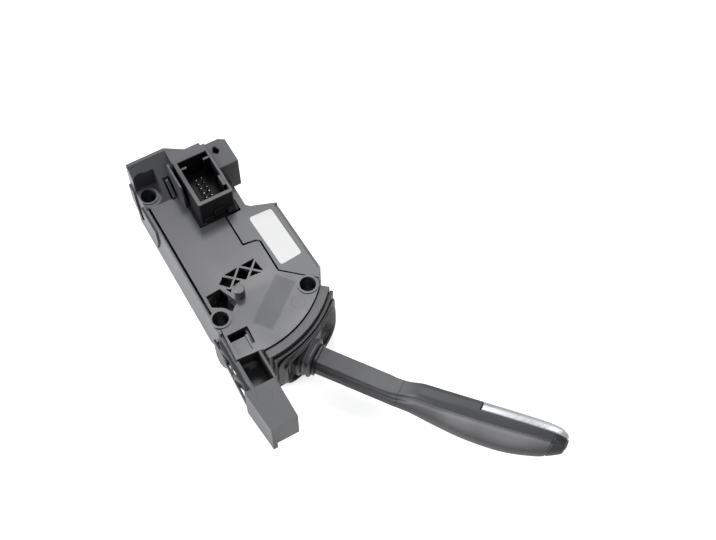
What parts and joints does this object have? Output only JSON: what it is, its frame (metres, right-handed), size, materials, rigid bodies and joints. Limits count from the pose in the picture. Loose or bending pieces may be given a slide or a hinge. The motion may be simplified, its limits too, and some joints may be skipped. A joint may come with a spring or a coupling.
{
  "type": "gear selector lever",
  "caption": "Steering column gear selector: a sprung lever with a soft grip, silver strip and end button on a flat ribbed switch module with a plug socket and screw points.",
  "frame": {"origin": "foot of the pivot boss on the outer face of the rear cover, on the lever's swing axis", "axes": "+Z out of the cover along the swing axis, +Y along the module towards the plug socket, +X towards the label side"},
  "size_m": [0.1057, 0.194, 0.043],
  "materials": {
    "housing_plastic": "satin, fine grain",
    "connector_plastic": "matte",
    "pin_metal": "tinned",
    "board": "satin",
    "chip": "matte",
    "steel": "plain",
    "magnet": "sintered",
    "low_friction": "natural",
    "carrier_plastic": "glass filled",
    "rubber": "matte",
    "grip": "soft touch",
    "silver": "brushed, lacquered",
    "paper": "label stock",
    "lead": "sleeved"
  },
  "bodies": {
    "module": {"main_housing": "housing_plastic", "rear_cover": "housing_plastic", "connector_hood": "housing_plastic", "connector_shroud": "connector_plastic", "connector_pins": "pin_metal", "circuit_board": "board", "board_screws": "steel", "hall_sensors": "chip", "board_components": "chip", "lead_socket": "connector_plastic", "screw_sleeves": "steel", "front_frame": "housing_plastic", "boot_retainer": "connector_plastic", "rubber_boot": "rubber", "detent_track": "low_friction", "pivot_pin": "steel", "end_bracket": "housing_plastic", "side_truss": "housing_plastic", "blank_label": "paper"},
    "lever": {"lever_carrier": "carrier_plastic", "pivot_bushes": "low_friction", "position_magnet": "magnet", "detent_spring": "steel", "lever_stem": "grip", "steel_core": "steel", "stem_collar": "grip", "handle_rear_shell": "grip", "handle_front_shell": "grip", "silver_strip": "silver", "handle_screws": "steel", "button_switch": "chip", "button_spring": "steel", "switch_lead": "lead"},
    "detent": {"detent_plunger": "low_friction"},
    "button": {"park_button": "grip"}
  },
  "joints": [
    {"name": "selector_swing", "type": "hinge", "parent": "module", "child": "lever", "pos_m": [0, 0, 0], "axis": [0, 0, 1], "range_deg": [-8, 8], "stiffness_Nm_per_rad": 4, "deforming": ["rubber_boot"]},
    {"name": "detent_ride", "type": "slide", "parent": "lever", "child": "detent", "axis": [-0.5299, 0.848, 0], "range_m": [0, 0.0004], "stiffness_N_per_m": 2000, "deforming": ["detent_spring"]},
    {"name": "button_press", "type": "slide", "parent": "lever", "child": "button", "axis": [-0.5807, 0.8141, 0], "range_m": [0, 0.0015], "stiffness_N_per_m": 900, "deforming": ["button_spring"]}
  ]
}
